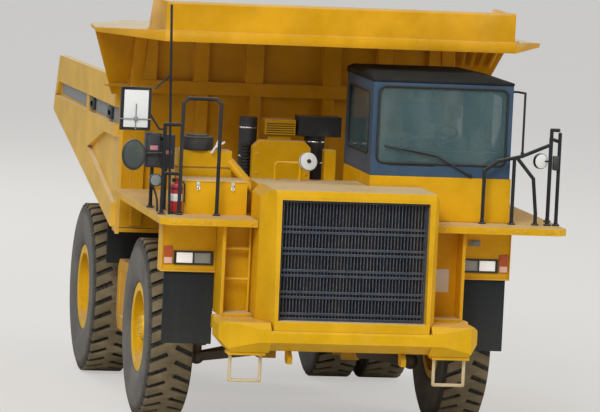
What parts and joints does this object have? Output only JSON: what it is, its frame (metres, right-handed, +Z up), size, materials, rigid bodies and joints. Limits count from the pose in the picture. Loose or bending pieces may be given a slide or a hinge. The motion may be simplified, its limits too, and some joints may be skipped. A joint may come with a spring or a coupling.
{
  "type": "mining dump truck",
  "caption": "Rigid mining dump truck with a tipping body and canopy, steered front wheels, twin rear wheels and a side cab.",
  "frame": {"origin": "on the ground below the middle of the overall length and width", "axes": "+X towards the front, +Y to the driver's left, +Z up"},
  "size_m": [8.37, 4.76, 4.43],
  "materials": {
    "yellow_paint": "satin, dusty",
    "black_paint": "satin",
    "cab_paint": "satin",
    "grille_paint": "satin",
    "engine_iron": "rough",
    "flap_rubber": "matte",
    "lamp_glass": "clear",
    "amber_plastic": "gloss",
    "glass": "clear",
    "seat_cloth": "woven",
    "black_plastic": "matte",
    "red_paint": "gloss",
    "axle_iron": "rough, dusty",
    "tyre_rubber": "matte, dusty",
    "rod_chrome": "polished"
  },
  "bodies": {
    "chassis": {"frame_rails": "yellow_paint", "frame_members": "yellow_paint", "front_bumper": "yellow_paint", "radiator_shell": "yellow_paint", "radiator_core": "black_paint", "grille": "grille_paint", "hood": "yellow_paint", "engine": "engine_iron", "engine_bay": "yellow_paint", "decks": "yellow_paint", "lamp_panels": "yellow_paint", "mud_flaps": "flap_rubber", "headlamps": "lamp_glass", "turn_lamps": "amber_plastic", "cab_base": "yellow_paint", "cab_shell": "cab_paint", "cab_roof": "black_paint", "cab_glass": "glass", "seat": "seat_cloth", "steering_column": "black_plastic", "handrails": "black_paint", "mirrors": "black_plastic", "deck_boxes": "yellow_paint", "deck_gear": "black_plastic", "extinguisher": "red_paint", "tanks": "yellow_paint", "front_suspension": "axle_iron", "rear_axle": "axle_iron"},
    "dump_body": {"body_floor": "yellow_paint", "body_sides": "yellow_paint", "body_front": "yellow_paint", "canopy": "yellow_paint", "body_flaps": "flap_rubber"},
    "knuckle_left": {"knuckle_left": "axle_iron"},
    "knuckle_right": {"knuckle_right": "axle_iron"},
    "track_rod": {"track_rod": "axle_iron"},
    "front_wheel_left": {"front_rim_left": "yellow_paint", "front_tyre_left": "tyre_rubber"},
    "front_wheel_right": {"front_rim_right": "yellow_paint", "front_tyre_right": "tyre_rubber"},
    "rear_wheels_left": {"rear_rims_left": "yellow_paint", "rear_tyres_left": "tyre_rubber"},
    "rear_wheels_right": {"rear_rims_right": "yellow_paint", "rear_tyres_right": "tyre_rubber"},
    "hoist_barrels": {"hoist_barrels": "black_paint"},
    "hoist_sleeves": {"hoist_sleeves": "rod_chrome"},
    "hoist_rods": {"hoist_rods": "rod_chrome"},
    "cab_door": {"cab_door": "cab_paint", "door_glass": "glass"}
  },
  "joints": [
    {"name": "steer_left", "type": "hinge", "parent": "chassis", "child": "knuckle_left", "pos_m": [1.735, 1.15, 0.935], "axis": [0, 0, 1], "range_deg": [-40, 40]},
    {"name": "steer_right", "type": "hinge", "parent": "chassis", "child": "knuckle_right", "pos_m": [1.735, -1.15, 0.935], "axis": [0, 0, 1], "range_deg": [-40, 40]},
    {"name": "track_rod_pivot", "type": "hinge", "parent": "knuckle_left", "child": "track_rod", "pos_m": [1.335, 1.15, 0.945], "axis": [0, 0, 1], "range_deg": [-40, 40]},
    {"name": "front_spin_left", "type": "hinge", "parent": "knuckle_left", "child": "front_wheel_left", "pos_m": [1.735, 1.575, 0.935], "axis": [0, 1, 0], "continuous": true},
    {"name": "front_spin_right", "type": "hinge", "parent": "knuckle_right", "child": "front_wheel_right", "pos_m": [1.735, -1.575, 0.935], "axis": [0, 1, 0], "continuous": true},
    {"name": "rear_spin_left", "type": "hinge", "parent": "chassis", "child": "rear_wheels_left", "pos_m": [-2.015, 1.294, 0.935], "axis": [0, 1, 0], "continuous": true},
    {"name": "rear_spin_right", "type": "hinge", "parent": "chassis", "child": "rear_wheels_right", "pos_m": [-2.015, -1.294, 0.935], "axis": [0, 1, 0], "continuous": true},
    {"name": "body_tilt", "type": "hinge", "parent": "chassis", "child": "dump_body", "pos_m": [-3.215, 0, 1.95], "axis": [0, -1, 0], "range_deg": [0, 48]},
    {"name": "hoist_lean", "type": "hinge", "parent": "chassis", "child": "hoist_barrels", "pos_m": [-1.215, 0, 0.85], "axis": [0, -1, 0], "range_deg": [0, 21.6]},
    {"name": "sleeve_slide", "type": "slide", "parent": "hoist_barrels", "child": "hoist_sleeves", "axis": [0.1735, 0, 0.9848], "range_m": [0, 0.851]},
    {"name": "rod_slide", "type": "slide", "parent": "hoist_sleeves", "child": "hoist_rods", "axis": [0.1735, 0, 0.9848], "range_m": [0, 0.851]},
    {"name": "cab_door_swing", "type": "hinge", "parent": "chassis", "child": "cab_door", "pos_m": [2.995, 1.786, 3.2], "axis": [0, 0, -1], "range_deg": [0, 70]}
  ],
  "couplings": [
    {"joint": "steer_right", "follows": "steer_left", "ratio": 1},
    {"joint": "track_rod_pivot", "follows": "steer_left", "ratio": -1},
    {"joint": "hoist_lean", "follows": "body_tilt", "ratio": 0.43876},
    {"joint": "sleeve_slide", "follows": "body_tilt", "m_per_rad": 1.0093},
    {"joint": "rod_slide", "follows": "body_tilt", "m_per_rad": 1.0093}
  ]
}
